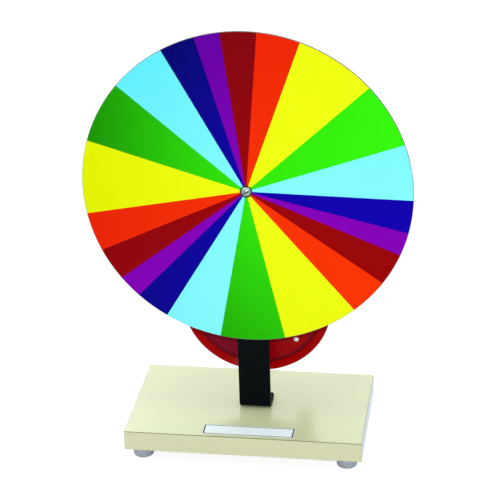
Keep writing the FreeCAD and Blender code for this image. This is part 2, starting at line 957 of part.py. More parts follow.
def handle_grip():
    """Turned grip, with a narrow neck, a full belly and a recess for the end screw."""
    bore = pin_radius + running_clearance
    edge = grip_edge_radius
    stations = [
        (grip_front_y + edge, grip_front_radius),
        (grip_front_y + grip_neck_station, grip_neck_radius),
        (grip_front_y + grip_belly_station, grip_belly_radius),
        (grip_back_y - edge, grip_end_radius),
    ]
    side = Part.BSplineCurve()
    side.interpolate([point(crank_x, y, crank_z + radius) for y, radius in stations])
    recess_front_y = grip_back_y - grip_recess_depth
    rest = [
        (grip_back_y - edge, grip_end_radius),
        (grip_back_y, grip_end_radius - edge),
        (grip_back_y, grip_recess_radius),
        (recess_front_y, grip_recess_radius),
        (recess_front_y, bore),
        (grip_front_y, bore),
        (grip_front_y, grip_front_radius - edge),
        (grip_front_y + edge, grip_front_radius),
    ]
    outline = Part.makePolygon([point(crank_x, y, crank_z + radius) for y, radius in rest])
    face = Part.Face(Part.Wire([side.toShape()] + outline.Edges))
    return face.revolve(point(crank_x, 0, crank_z), Y_AXIS, 360)


def grip_washer():
    inner = grip_screw_radius + hole_clearance
    back_y = pin_end_y() + grip_washer_thickness
    return ring(grip_washer_radius, inner, pin_end_y(), back_y, crank_x, crank_z)


def grip_screw():
    screw = slotted_screw(
        grip_screw_radius, grip_screw_length, grip_screw_head_radius, grip_screw_head_height
    )
    return placed(screw, point(crank_x, pin_end_y() + grip_washer_thickness, crank_z), Y_AXIS)


# Belt
def belt_run(lean, side):
    """Straight run from the wheel to the small pulley, on one side."""
    out_x = side * math.cos(lean)
    up_z = math.sin(lean)
    low = point(wheel_pitch_radius * out_x, wheel_y, wheel_z + wheel_pitch_radius * up_z)
    high = point(pulley_pitch_radius * out_x, wheel_y, disc_z + pulley_pitch_radius * up_z)
    return Part.makeCylinder(belt_radius, (high - low).Length, low, high - low)


def belt_wrap(centre_z, radius, start, sweep):
    """Part of the belt round a pulley; start is its angle from the right, sweep goes down."""
    out = point(math.cos(start), 0, math.sin(start))
    middle = point(0, wheel_y, centre_z) + out * radius
    section = Part.Face(Part.Wire(Part.Circle(middle, out.cross(Y_AXIS), belt_radius).toShape()))
    return section.revolve(point(0, 0, centre_z), Y_AXIS, math.degrees(sweep))


def drive_belt():
    lean = math.asin((wheel_pitch_radius - pulley_pitch_radius) / (disc_z - wheel_z))
    round_wheel = belt_wrap(wheel_z, wheel_pitch_radius, lean, math.pi + 2 * lean)
    round_pulley = belt_wrap(disc_z, pulley_pitch_radius, math.pi - lean, math.pi - 2 * lean)
    loop = round_wheel.fuse([belt_run(lean, -1), round_pulley, belt_run(lean, 1)])
    return loop.removeSplitter()


stand = [
    base_board, top_laminate, front_edging, rear_edging, left_edging, right_edging, label_plate,
    rubber_feet, foot_washers, foot_screws, upright_strip, strip_bolts, strip_washers, strip_nuts,
    bearing_housing, housing_washer, housing_nut, shaft_bushes, wheel_axle, axle_washer, axle_nut,
    axle_end_washer, axle_end_screw, drive_belt,
]
turning_disc = [
    disc_plate, disc_hub, hub_grub_screw, disc_shaft, centre_washer, centre_screw, thrust_washers,
    small_pulley, pulley_grub_screw,
]
crank_wheel = [
    front_dish, rear_dish, wheel_hub, hub_ring, hub_rivets, wheel_bush, pin_spacer, crank_pin,
    handle_grip, grip_washer, grip_screw,
]


def save(name, shape):
    """Write one sub-part and print how many solids it has, their volume and their health."""
    shape.exportStep("parts/" + name + ".step")
    health = "sound" if shape.isValid() else "BROKEN"
    print(name, len(shape.Solids), "solids", round(shape.Volume, 1), "mm3", health)


os.makedirs("parts", exist_ok=True)
for make in stand + turning_disc + crank_wheel:
    save(make.__name__, make())
for colour in colour_widths:
    save(colour + "_sectors", colour_sectors(colour))

print("disc axis z", disc_z, "wheel axis z", wheel_z, "belt y", round(wheel_y, 3))
print("crank pin x", round(crank_x, 4), "z", round(crank_z, 4))
print("belt ratio", round(wheel_pitch_radius / pulley_pitch_radius, 6))
print("whole depth from", round(base_front_y, 3), "to", round(grip_back_y, 3))
print("foot x", round(foot_places()[3][0], 3), "y", round(foot_places()[2][1], 3))
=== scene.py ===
# %% [markdown]
# # A colour disc on a stand, from its frame to its finish
#
# The apparatus is a large coloured disc on a black steel upright. A red wheel behind it drives the
# disc through a round belt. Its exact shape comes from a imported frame. This lesson gives every piece
# its finish, models the plate on the base, and sets up the camera and the light.

# %% Load the frame
import bpy
import math
from mathutils import Matrix, Vector


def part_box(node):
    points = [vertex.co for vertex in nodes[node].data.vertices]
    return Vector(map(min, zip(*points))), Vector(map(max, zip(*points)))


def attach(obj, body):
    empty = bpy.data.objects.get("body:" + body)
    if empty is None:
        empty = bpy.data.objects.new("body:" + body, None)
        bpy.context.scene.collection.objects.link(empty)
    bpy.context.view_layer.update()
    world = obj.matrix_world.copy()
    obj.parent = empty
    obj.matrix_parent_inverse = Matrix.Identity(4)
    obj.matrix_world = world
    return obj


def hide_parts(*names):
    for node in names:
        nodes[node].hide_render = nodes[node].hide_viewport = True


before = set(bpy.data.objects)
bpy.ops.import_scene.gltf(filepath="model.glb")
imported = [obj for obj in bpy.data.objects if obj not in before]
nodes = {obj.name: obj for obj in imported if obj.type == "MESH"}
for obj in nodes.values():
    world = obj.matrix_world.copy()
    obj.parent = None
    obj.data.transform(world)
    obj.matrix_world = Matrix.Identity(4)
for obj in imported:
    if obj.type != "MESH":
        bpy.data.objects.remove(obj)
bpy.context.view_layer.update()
scene = bpy.context.scene
MM = 0.001
print("pieces in the frame:", len(nodes))

# %% [markdown]
# ## Places that the finishes need
#
# A finish that follows the shape, such as a dark line round the base, has to know where that shape
# is. The boxes of the frame's pieces give those places, so nothing is typed twice.

# %% Places
laminate_low, laminate_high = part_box("top_laminate")
disc_low, disc_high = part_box("disc_plate")
wheel_low, wheel_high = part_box("front_dish")
grip_low, grip_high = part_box("handle_grip")
base_middle = (laminate_low + laminate_high) / 2
base_half = (laminate_high - laminate_low) / 2
disc_axis = (disc_low + disc_high) / 2
wheel_axis = (wheel_low + wheel_high) / 2
disc_radius = (disc_high.x - disc_low.x) / 2
wheel_radius = (wheel_high.x - wheel_low.x) / 2
print("disc axis at z", round(disc_axis.z / MM, 2), "radius", round(disc_radius / MM, 2))
print("wheel axis at z", round(wheel_axis.z / MM, 2), "radius", round(wheel_radius / MM, 2))

# %% [markdown]
# ## Writing a finish as sums
#
# Shader nodes can be placed one by one, but a long chain of them is hard to read. Here a small class
# stands for an output, and sums on it add the nodes. A finish then reads like the rule it follows,
# for example 0.3 + 0.2 * smudge.

# %% The class for outputs
class Wire:
    """An output of a shader node that can be used in sums."""

    def __init__(self, socket):
        self.socket = socket

    def worked(self, operation, first, second):
        tree = self.socket.id_data
        plain = self.socket.type == "VALUE"
        node = tree.nodes.new("ShaderNodeMath" if plain else "ShaderNodeVectorMath")
        node.operation = operation
        for place, part in ((0, first), (1, second)):
            if isinstance(part, Wire):
                tree.links.new(part.socket, node.inputs[place])
            elif part is not None:
                node.inputs[place].default_value = part
        return Wire(node.outputs[0])

    def __add__(self, other):
        return self.worked("ADD", self, other)

    def __radd__(self, other):
        return self.worked("ADD", other, self)

    def __sub__(self, other):
        return self.worked("SUBTRACT", self, other)

    def __rsub__(self, other):
        return self.worked("SUBTRACT", other, self)

    def __mul__(self, other):
        return self.worked("MULTIPLY", self, other)

    def __rmul__(self, other):
        return self.worked("MULTIPLY", other, self)

    def __truediv__(self, other):
        return self.worked("DIVIDE", self, other)

    def __pow__(self, other):
        return self.worked("POWER", self, other)

    def __gt__(self, other):
        return self.worked("GREATER_THAN", self, other)

    def __lt__(self, other):
        return self.worked("LESS_THAN", self, other)

    def __abs__(self):
        return self.worked("ABSOLUTE", self, None)


# %% [markdown]
# ## The workbench for a finish
#
# A second class holds one material. Its node method adds any node: the settings go in first, because
# some of them change which sockets exist, and then the values and links of its sockets. The other
# methods are the few patterns that nearly every real surface needs.

# %% The class for finishes
def solid(colour):
    """An output as it is, or red, green and blue with full cover added."""
    return colour if isinstance(colour, Wire) else tuple(colour) + (1.0,)


class Finish:
    """A material that is being made, with its main shader and its patterns."""

    def __init__(self, name, **constants):
        self.material = bpy.data.materials.new(name)
        self.material.use_nodes = True
        self.tree = self.material.node_tree
        self.shader = self.tree.nodes["Principled BSDF"]
        for word, value in constants.items():
            self.shader.inputs[word.replace("_", " ")].default_value = value
        self.place = self.node("ShaderNodeTexCoord", {}, {}, "Object")

    def node(self, kind, settings, sockets, output=0):
        made = self.tree.nodes.new(kind)
        for name, value in settings.items():
            setattr(made, name, value)
        for name, value in sockets.items():
            if isinstance(value, Wire):
                self.tree.links.new(value.socket, made.inputs[name])
            else:
                made.inputs[name].default_value = value
        return Wire(made.outputs[output])

    def axes(self):
        """The three coordinates of the surface, in metres."""
        split = self.node("ShaderNodeSeparateXYZ", {}, {0: self.place})
        outputs = split.socket.node.outputs
        return Wire(outputs[0]), Wire(outputs[1]), Wire(outputs[2])

    def noise(self, size, detail=3.0, roughness=0.55, stretch=(1.0, 1.0, 1.0)):
        """Soft uneven pattern from 0 to 1 whose patches are about size long, in metres."""
        scaled = self.place * tuple(share / size for share in stretch)
        return self.node(
            "ShaderNodeTexNoise", {},
            {"Vector": scaled, "Scale": 1.0, "Detail": detail, "Roughness": roughness},
        )

    def cells(self, size, settings, output):
        """Pattern of cells about size across, in metres."""
        scaled = self.place * (1 / size, 1 / size, 1 / size)
        return self.node("ShaderNodeTexVoronoi", settings, {"Vector": scaled, "Scale": 1.0}, output)

    def rings(self, length, pitch, detail):
        """Uneven rings that follow one length, about pitch apart, in metres."""
        settings = {"noise_dimensions": "1D"}
        sockets = {"W": length / pitch, "Scale": 1.0, "Detail": detail}
        return self.node("ShaderNodeTexNoise", settings, sockets)

    def ramp(self, value, low, high):
        """0 below low, 1 above high, and even in between."""
        settings = {"clamp": True}
        sockets = {"Value": value, "From Min": low, "From Max": high}
        return self.node("ShaderNodeMapRange", settings, sockets)

    def mix(self, share, first, second):
        """Colour between two colours, each an output or red, green and blue."""
        settings = {"data_type": "RGBA", "clamp_factor": True}
        sockets = {0: share, 6: solid(first), 7: solid(second)}
        return self.node("ShaderNodeMix", settings, sockets, 2)

    def distance_from(self, first, second):
        """Distance from a line, from the two coordinates across it."""
        return (first * first + second * second) ** 0.5

    def feed(self, word, wire):
        self.tree.links.new(wire.socket, self.shader.inputs[word])

    def bump(self, height, depth):
        """Relief whose height goes from 0 to 1 over depth metres."""
        sockets = {"Strength": 1.0, "Distance": depth, "Height": height}
        self.feed("Normal", self.node("ShaderNodeBump", {}, sockets))


# %% Painting pieces of the frame
painted = set()


def paint(finish, *names):
    """Give pieces of the frame a finish."""
    for name in names:
        piece = nodes[name]
        piece.data.materials.clear()
        piece.data.materials.append(finish.material)
        painted.add(name)
    print(finish.material.name, "on", len(names), "pieces")


# %% [markdown]
# ## The camera
#
# The picture to match was taken from above and a little to the right, with the camera slightly
# rolled. The view could be found by eye, but here a pinhole camera was fitted to the rim of the disc
# and the corners of the base, and gave these values.

# %% Camera
camera_place = Vector((0.23767, -1.50844, 0.91235))
camera_yaw = math.radians(9.082)
camera_pitch = math.radians(25.296)
camera_roll = math.radians(-1.684)
focal_pixels = 1818.6
frame_pixels = 500
sensor_width = 36.0

forward = Vector((
    -math.sin(camera_yaw) * math.cos(camera_pitch),
    math.cos(camera_yaw) * math.cos(camera_pitch),
    -math.sin(camera_pitch),
))
level = Vector((math.cos(camera_yaw), math.sin(camera_yaw), 0.0))
above = level.cross(forward)
right = math.cos(camera_roll) * level + math.sin(camera_roll) * above
up = -math.sin(camera_roll) * level + math.cos(camera_roll) * above

camera_data = bpy.data.cameras.new("camera")
camera_data.sensor_width = sensor_width
camera_data.lens = focal_pixels / frame_pixels * sensor_width
camera = bpy.data.objects.new("camera", camera_data)
turn = Matrix((right, up, -forward)).transposed().to_4x4()
camera.matrix_world = Matrix.Translation(camera_place) @ turn
scene.collection.objects.link(camera)
scene.camera = camera
print("lens in mm:", round(camera_data.lens, 2))

# %% [markdown]
# ## Floor, world and lamps
#
# The picture has a white ground and a lamp close to the camera, so its shadows are thin lines. A floor
# lit until it is white would burn out the object too. So the floor and the world show white only to
# the camera and, a little darker, to reflections, and the lamps stay at a level where a colour looks
# as it was written. A wide panel behind the object is what the glossy board mirrors.

# %% World
mirrored_share = 0.75


def seen_directly(tree):
    """1 for rays from the camera, a little less for those from mirrors, 0 for light that bounces."""
    path = tree.nodes.new("ShaderNodeLightPath")
    total = Wire(path.outputs["Is Camera Ray"]) + mirrored_share * Wire(path.outputs["Is Glossy Ray"])
    total = total + Wire(path.outputs["Is Transmission Ray"])
    return total.worked("MINIMUM", total, 1.0)


white = (1.0, 1.0, 1.0)
ambient_level = 0.2
world = bpy.data.worlds.new("studio")
world.use_nodes = True
scene.world = world
ambient = world.node_tree.nodes["Background"]
ambient.inputs["Color"].default_value = solid(white)
shown = seen_directly(world.node_tree)
strength = ambient_level + shown * (1 - ambient_level)
world.node_tree.links.new(strength.socket, ambient.inputs["Strength"])

# %% Floor
# Near the object a part of the floor is left unlit by itself, so that it takes a faint shadow.
# Further away than floor_near it turns white, so that no horizon shows.
floor_size = 12.0
floor_tone = (0.86, 0.86, 0.86)
floor_white = 0.74
floor_strength = 1.2
floor_near = 0.4
bpy.ops.object.select_all(action="DESELECT")
bpy.ops.mesh.primitive_plane_add(size=floor_size)
floor = bpy.context.object
floor.name = "floor"
floor_material = bpy.data.materials.new("floor")
floor_material.use_nodes = True
floor_tree = floor_material.node_tree
floor_tree.nodes.remove(floor_tree.nodes["Principled BSDF"])
floor_diffuse = floor_tree.nodes.new("ShaderNodeBsdfDiffuse")
floor_diffuse.inputs["Color"].default_value = solid(floor_tone)
floor_glow = floor_tree.nodes.new("ShaderNodeEmission")
floor_glow.inputs["Strength"].default_value = floor_strength
floor_mix = floor_tree.nodes.new("ShaderNodeMixShader")
floor_place = floor_tree.nodes.new("ShaderNodeTexCoord")
floor_reach = floor_tree.nodes.new("ShaderNodeVectorMath")
floor_reach.operation = "LENGTH"
floor_tree.links.new(floor_place.outputs["Object"], floor_reach.inputs[0])
away = Wire(floor_reach.outputs["Value"]) - floor_near
away = away.worked("MINIMUM", away.worked("MAXIMUM", away, 0.0), 1.0)
floor_share = seen_directly(floor_tree) * (floor_white + away * (1 - floor_white))
floor_tree.links.new(floor_share.socket, floor_mix.inputs[0])
floor_tree.links.new(floor_diffuse.outputs[0], floor_mix.inputs[1])
floor_tree.links.new(floor_glow.outputs[0], floor_mix.inputs[2])

# From below, the floor is like clear glass, so that the underside of the object can be looked at.
floor_side = floor_tree.nodes.new("ShaderNodeNewGeometry")
floor_clear = floor_tree.nodes.new("ShaderNodeBsdfTransparent")
floor_pick = floor_tree.nodes.new("ShaderNodeMixShader")
floor_tree.links.new(floor_side.outputs["Backfacing"], floor_pick.inputs[0])
floor_tree.links.new(floor_mix.outputs[0], floor_pick.inputs[1])
floor_tree.links.new(floor_clear.outputs[0], floor_pick.inputs[2])
floor_tree.links.new(floor_pick.outputs[0], floor_tree.nodes["Material Output"].inputs["Surface"])
floor.data.materials.append(floor_material)

# %% Lamps
def soft_lamp(name, place, target, size, power):
    """Square lamp that faces a point."""
    data = bpy.data.lights.new(name, "AREA")
    data.shape = "SQUARE"
    data.size = size
    data.energy = power
    lamp = bpy.data.objects.new(name, data)
    look = Vector(target) - Vector(place)
    lamp.matrix_world = Matrix.Translation(place) @ look.to_track_quat("-Z", "Y").to_matrix().to_4x4()
    scene.collection.objects.link(lamp)
    print(name, "at", place, "power", power)


foot = (0.0, 0.0, 0.0)
heart = (0.0, 0.0, 0.2)
soft_lamp("camera_lamp", (0.25, -1.51, 1.045), heart, 0.03, 12.8)
soft_lamp("top_lamp", (0.0, 0.1, 2.2), foot, 3.0, 26.0)
soft_lamp("left_lamp", (-1.5, 0.0, 1.5), foot, 1.2, 14.0)
soft_lamp("right_lamp", (1.5, 0.0, 1.5), foot, 1.2, 12.0)
soft_lamp("back_lamp", (-1.5, 1.6, 0.9), heart, 2.0, 14.0)
soft_lamp("rear_panel", (0.0, 2.4, 1.1), foot, 2.4, 16.0)

scene.view_settings.view_transform = "Standard"

# %% [markdown]
# ## The coloured film
#
# Seven colours of glossy printed film cover the face of the disc, each in three sectors. The same
# green is lighter on one side of the disc than on the other. This is partly uneven print and partly
# painted light: the falloff of the light from the lower right to the upper left is painted into the
# film. A picture could hold that, but here each colour has a strong and a weak tone. They are mixed
# across the disc, and the rim is a little weaker than the middle. Faint smudges in the gloss keep the
# face from looking like plain paint.

# %% Film
middle_share = 0.81
side_share = 0.5
rim_share = 0.34


def film_finish(name, strong, weak, strong_side):
    """Printed film whose tone changes across the disc, partly as painted light. strong_side is in
    degrees from the top.
    """
    finish = Finish(name, Specular_IOR_Level=0.02)
    x, y, z = finish.axes()
    high = z - disc_axis.z
    side = math.radians(strong_side)
    across = (x * math.sin(side) + high * math.cos(side)) / disc_radius
    reach = finish.distance_from(x, high) / disc_radius
    # Partly uneven print and partly painted light: the falloff of the light across the disc and
    # towards the rim is painted into the tone.
    share = middle_share + side_share * across - rim_share * reach
    tone = finish.mix(share, weak, strong)
    grain = finish.noise(0.0011, 4.0, 0.7)
    cloud = finish.noise(0.045, 3.0)
    uneven = 0.93 + 0.09 * cloud + 0.05 * grain
    finish.feed("Base Color", finish.mix(uneven, (0.0, 0.0, 0.0), tone))
    smudge = finish.ramp(finish.noise(0.03, 5.0, 0.65), 0.45, 0.75)
    finish.feed("Roughness", 0.27 + 0.16 * smudge)
    finish.bump(finish.noise(0.0022, 2.0), 0.00002)
    return finish


films = {
    "red": ((0.315, 0.0009, 0.0010), (0.212, 0.0014, 0.0050), 150.0),
    "orange": ((0.910, 0.034, 0.0002), (0.750, 0.013, 0.0010), 130.0),
    "yellow": ((0.835, 0.975, 0.007), (0.745, 0.860, 0.0003), 95.0),
    "green": ((0.036, 0.900, 0.003), (0.008, 0.235, 0.001), 75.0),
    "light_blue": ((0.248, 0.945, 0.970), (0.125, 0.820, 0.950), 141.0),
    "dark_blue": ((0.005, 0.000, 0.430), (0.001, 0.002, 0.135), 125.0),
    "violet": ((0.250, 0.000, 0.490), (0.120, 0.000, 0.350), 168.0),
}
for colour, (strong, weak, strong_side) in films.items():
    paint(film_finish("printed_" + colour, strong, weak, strong_side), colour + "_sectors")

# %% [markdown]
# ## Bare aluminium
#
# The disc's back, its hub and the small pulley are bare aluminium. Rolled sheet has long fine lines
# one way, while a turned piece has rings. Both come from the same noise, stretched along the lines
# or read from the distance to the axis, and they change the gloss more than the colour. The cut edge
# of the sheet is duller and darker.

# %% Aluminium
cut_edge_inner = disc_radius - 0.7 * MM
cut_edge_outer = disc_radius - 0.5 * MM


def sheet_aluminium():
    finish = Finish("rolled_aluminium", Metallic=1.0)
    lines = finish.noise(0.0009, 4.0, 0.6, (0.02, 1.0, 1.0))
    cloud = finish.noise(0.06, 3.0)
    dull = finish.ramp(finish.noise(0.02, 5.0, 0.7), 0.5, 0.8)
    tone = finish.mix(cloud, (0.60, 0.61, 0.63), (0.75, 0.76, 0.78))
    tone = finish.mix(dull * 0.35, tone, (0.50, 0.51, 0.53))
    x, y, z = finish.axes()
    reach = finish.distance_from(x - disc_axis.x, z - disc_axis.z)
    edge = finish.ramp(reach, cut_edge_inner, cut_edge_outer)
    finish.feed("Base Color", finish.mix(edge, tone, (0.17, 0.18, 0.17)))
    finish.feed("Roughness", 0.26 + 0.16 * lines + 0.14 * dull + 0.2 * edge)
    finish.bump(lines, 0.00003)
    return finish


def turned_metal(name, tone, worn, axis, ring_pitch, roughness):
    """Metal turned on a lathe about a line along Y through axis."""
    finish = Finish(name, Metallic=1.0)
    x, y, z = finish.axes()
    reach = finish.distance_from(x - axis.x, z - axis.z)
    rings = finish.rings(reach + y, ring_pitch, 3.0)
    cloud = finish.noise(0.008, 3.0)
    finish.feed("Base Color", finish.mix(cloud, worn, tone))
    finish.feed("Roughness", roughness - 0.08 + 0.2 * rings)
    finish.bump(rings, 0.00002)
    return finish


paint(sheet_aluminium(), "disc_plate")
pale_metal = (0.76, 0.77, 0.79)
dull_metal = (0.58, 0.59, 0.61)
turned_aluminium = turned_metal(
    "turned_aluminium", pale_metal, dull_metal, disc_axis, 0.4 * MM, 0.26
)
paint(turned_aluminium, "disc_hub", "small_pulley")

# %% [markdown]
# ## The laminated base
#
# The board is particle board under cream laminate. Laminate is coloured only on its face, and its
# cut edge shows a darker core, which is the thin olive line round the top in the picture. That line
# could be a strip of its own, but it belongs to the sheet, so the finish darkens on the bevel and just
# below it. The top is glossy enough to mirror the foot of the upright, so a clear coat that is a
# little rough lies over it: near the foot the image is sharp, and further away it fades.

# %% Laminate
speckled = 0.86


def laminate_finish(name, face, gloss, core_mask):
    """Satin laminate. core_mask takes the three coordinates and is 1 where the cut edge shows."""
    finish = Finish(name, Specular_IOR_Level=0.0, Coat_Roughness=0.2, Coat_IOR=1.8)
    x, y, z = finish.axes()
    mottle = finish.noise(0.012, 4.0, 0.6)
    speck = finish.noise(0.0016, 2.0)
    darker = tuple(speckled * part for part in face)
    tone = finish.mix(0.25 * mottle + 0.12 * speck, face, darker)
    layers = finish.noise(0.0006, 2.0, 0.5, (0.05, 0.05, 1.0))
    core = finish.mix(layers, (0.20, 0.19, 0.115), (0.33, 0.31, 0.20))
    mask = core_mask(x, y, z)
    finish.feed("Base Color", finish.mix(mask, tone, core))
    rub = finish.ramp(finish.noise(0.05, 5.0, 0.6), 0.3, 0.9)
    finish.feed("Roughness", 0.42 + 0.08 * rub + 0.2 * mask)
    finish.feed("Coat Weight", gloss - gloss * mask)
    finish.bump(finish.noise(0.0008, 3.0), 0.000015)
    return finish


cream = (0.558, 0.622, 0.371)
warm_cream = (0.670, 0.690, 0.445)
line_top = 0.03 * MM
line_bottom = 0.75 * MM
line_depth = 0.2 * MM


def arris(x, y, z):
    """1 on the bevel round the top and on the upper part of the cut edge."""
    return (z < laminate_high.z - line_top) * (z > laminate_high.z - line_bottom)


def short_ends(x, y, z):
    """1 at the two ends of a long edging, where its core shows."""
    return abs(x - base_middle.x) > base_half.x - line_depth


paint(laminate_finish("cream_top", cream, 1.0, arris), "top_laminate")
paint(laminate_finish("cream_edge", warm_cream, 0.5, short_ends), "front_edging", "rear_edging")

# %% [markdown]
# ## The short edges and the board's underside
#
# The short edges of the base get a paler, cooler tone than the long ones. Underneath, the raw board
# shows its pressed chips. Cells of uneven size make good chips, because each cell can have a tone of
# its own.

# %% Edge band and particle board
def band_finish():
    finish = Finish("pale_edge_band", Specular_IOR_Level=0.4)
    cloud = finish.noise(0.02, 3.0)
    finish.feed("Base Color", finish.mix(cloud, (0.62, 0.69, 0.84), (0.68, 0.75, 0.89)))
    finish.feed("Roughness", 0.34 + 0.14 * finish.noise(0.006, 4.0))
    finish.bump(finish.noise(0.0012, 3.0, 0.5, (1.0, 0.1, 1.0)), 0.00003)
    return finish


def particle_board_finish():
    finish = Finish("particle_board", Specular_IOR_Level=0.25)
    chip = finish.cells(0.0034, {"distance": "CHEBYCHEV"}, "Color")
    edge = finish.cells(0.0034, {"feature": "DISTANCE_TO_EDGE"}, "Distance")
    picked = finish.node("ShaderNodeSeparateXYZ", {}, {0: chip})
    tone = finish.mix(picked, (0.30, 0.19, 0.09), (0.58, 0.42, 0.24))
    dust = finish.noise(0.0007, 3.0)
    tone = finish.mix(dust * 0.35, tone, (0.40, 0.29, 0.17))
    gap = finish.ramp(edge, 0.0, 0.06)
    finish.feed("Base Color", finish.mix(gap, (0.16, 0.10, 0.05), tone))
    finish.feed("Roughness", 0.75 + 0.15 * dust)
    finish.bump(gap * 0.6 + dust * 0.4, 0.00015)
    return finish


paint(band_finish(), "left_edging", "right_edging")
paint(particle_board_finish(), "base_board")

# %% [markdown]
# ## Painted steel
#
# The upright has black enamel and the two pressed dishes of the wheel have red enamel. Sprayed
# enamel dries with a fine waviness, often called orange peel, which breaks up its reflections. It
# comes from a soft noise in the relief. The bead and the outer edge of each dish are darker, as
# painted shade in the groove and on the rounded edge. The web is darker than the rim band, as painted
# shade under the disc, and on the front dish it turns from a wine red on the left, painted shade with
# a painted purple reflection, to plain red on the right.

# %% Enamels
def enamel_finish(name, tone, deep, gloss, peel_size, peel_depth):
    finish = Finish(name, Specular_IOR_Level=0.02)
    cloud = finish.noise(0.03, 3.0)
    finish.feed("Base Color", finish.mix(cloud, deep, tone))
    dust = finish.ramp(finish.noise(0.0009, 3.0, 0.7), 0.6, 0.8)
    finish.feed("Roughness", gloss + 0.1 * cloud + 0.15 * dust)
    finish.bump(finish.noise(peel_size, 2.0), peel_depth)
    return finish


black = (0.0034, 0.0052, 0.0062)
deep_black = (0.0022, 0.0034, 0.0042)
paint(enamel_finish("black_enamel", black, deep_black, 0.30, 0.0014, 0.00004), "upright_strip")


# Places on the dish as shares of its radius.
web_edge = 0.845
bend_edge = 0.885
bead_middle = 0.868
bead_half = 0.045
rim_start = 0.985
rim_end = 0.998
web_turn = 0.35


def red_enamel(name, left_web, right_web):
    """Red enamel of a dish with painted shade on its web, bead and outer edge; the web goes from one
    red to another from left to right.
    """
    finish = Finish(name, Specular_IOR_Level=0.03, Coat_Weight=0.02, Coat_Roughness=0.05)
    x, y, z = finish.axes()
    reach = finish.distance_from(x - wheel_axis.x, z - wheel_axis.z) / wheel_radius
    cloud = finish.noise(0.025, 3.0)
    tone = finish.mix(cloud, (0.36, 0.0008, 0.0008), (0.42, 0.0010, 0.0010))
    # Painted shade: the web inside the bend is darker than the rim band, as the shade under the disc.
    inner = finish.ramp(reach, bend_edge, web_edge)
    # Painted shade and reflection: the web turns from left_web on the left to right_web on the right.
    side = finish.ramp(x, -web_turn * wheel_radius, web_turn * wheel_radius)
    tone = finish.mix(inner, tone, finish.mix(side, left_web, right_web))
    # Painted shade in the groove of the bead.
    bead_shade = finish.ramp(abs(reach - bead_middle), bead_half, 0.0)
    tone = finish.mix(bead_shade * 0.9, tone, (0.085, 0.0025, 0.0150))
    # Painted shade: the rounded outer edge of the dish is darker.
    edge = finish.ramp(reach, rim_start, rim_end)
    finish.feed("Base Color", finish.mix(edge * 0.6, tone, (0.16, 0.0015, 0.0050)))
    dust = finish.ramp(finish.noise(0.0009, 3.0, 0.7), 0.6, 0.8)
    finish.feed("Roughness", 0.09 + 0.05 * cloud + 0.12 * dust)
    finish.bump(finish.noise(0.0016, 2.0), 0.00003)
    return finish


# Painted shade: both web reds are darker than the rim band, and the wine red is the painted shade of
# the left web with a painted purple reflection.
web_red = (0.340, 0.0012, 0.0028)
shaded_web_wine = (0.215, 0.0018, 0.0190)
paint(red_enamel("red_enamel_front", shaded_web_wine, web_red), "front_dish")
paint(red_enamel("red_enamel_rear", web_red, web_red), "rear_dish")

# %% [markdown]
# ## Plated steel
#
# Screws, nuts, washers and axles are plated with zinc, which is pale and slightly blotchy. The plate
# follows the fine lines that the lathe left, so a faint relief is stretched along each piece. The
# crank pin is bare drawn steel, and its riveted end shines evenly pale.

# %% Plated and drawn steel
def plated_finish():
    finish = Finish("zinc_plate", Metallic=1.0)
    cloud = finish.noise(0.004, 4.0, 0.6)
    scratch = finish.noise(0.0007, 3.0, 0.6, (1.0, 0.15, 1.0))
    stain = finish.ramp(finish.noise(0.009, 4.0, 0.6), 0.5, 0.8)
    tone = finish.mix(cloud, (0.52, 0.53, 0.56), (0.68, 0.69, 0.71))
    finish.feed("Base Color", finish.mix(stain * 0.35, tone, (0.56, 0.52, 0.43)))
    finish.feed("Roughness", 0.24 + 0.18 * cloud + 0.1 * scratch)
    finish.bump(scratch, 0.00002)
    return finish


def satin_steel_finish():
    finish = Finish("drawn_steel", Metallic=0.85)
    cloud = finish.noise(0.003, 4.0, 0.6)
    finish.feed("Base Color", finish.mix(cloud, (0.70, 0.76, 0.79), (0.86, 0.90, 0.92)))
    finish.feed("Roughness", 0.46 + 0.14 * cloud)
    finish.bump(finish.noise(0.0006, 3.0, 0.6, (1.0, 0.2, 1.0)), 0.00002)
    return finish


zinc = plated_finish()
paint(
    zinc, "foot_washers", "foot_screws", "strip_bolts", "strip_washers", "strip_nuts",
    "bearing_housing", "housing_washer", "housing_nut", "wheel_axle", "axle_washer", "axle_nut",
    "axle_end_washer", "axle_end_screw", "disc_shaft", "wheel_hub", "hub_ring", "hub_rivets",
    "pin_spacer", "grip_washer", "grip_screw",
)
paint(satin_steel_finish(), "crank_pin")

# %% [markdown]
# ## The screw in the middle of the disc
#
# The screw in the middle is what the eye goes to, and its slot shows as a dark line of dirt and
# painted shade. That dark could be a piece of its own, but the finish can find the slot: it lies
# inside the ball that the round head is a part of. The head's dark greenish tone is a painted
# reflection of the film, and the washer under the head is nearly black as a painted reflection.

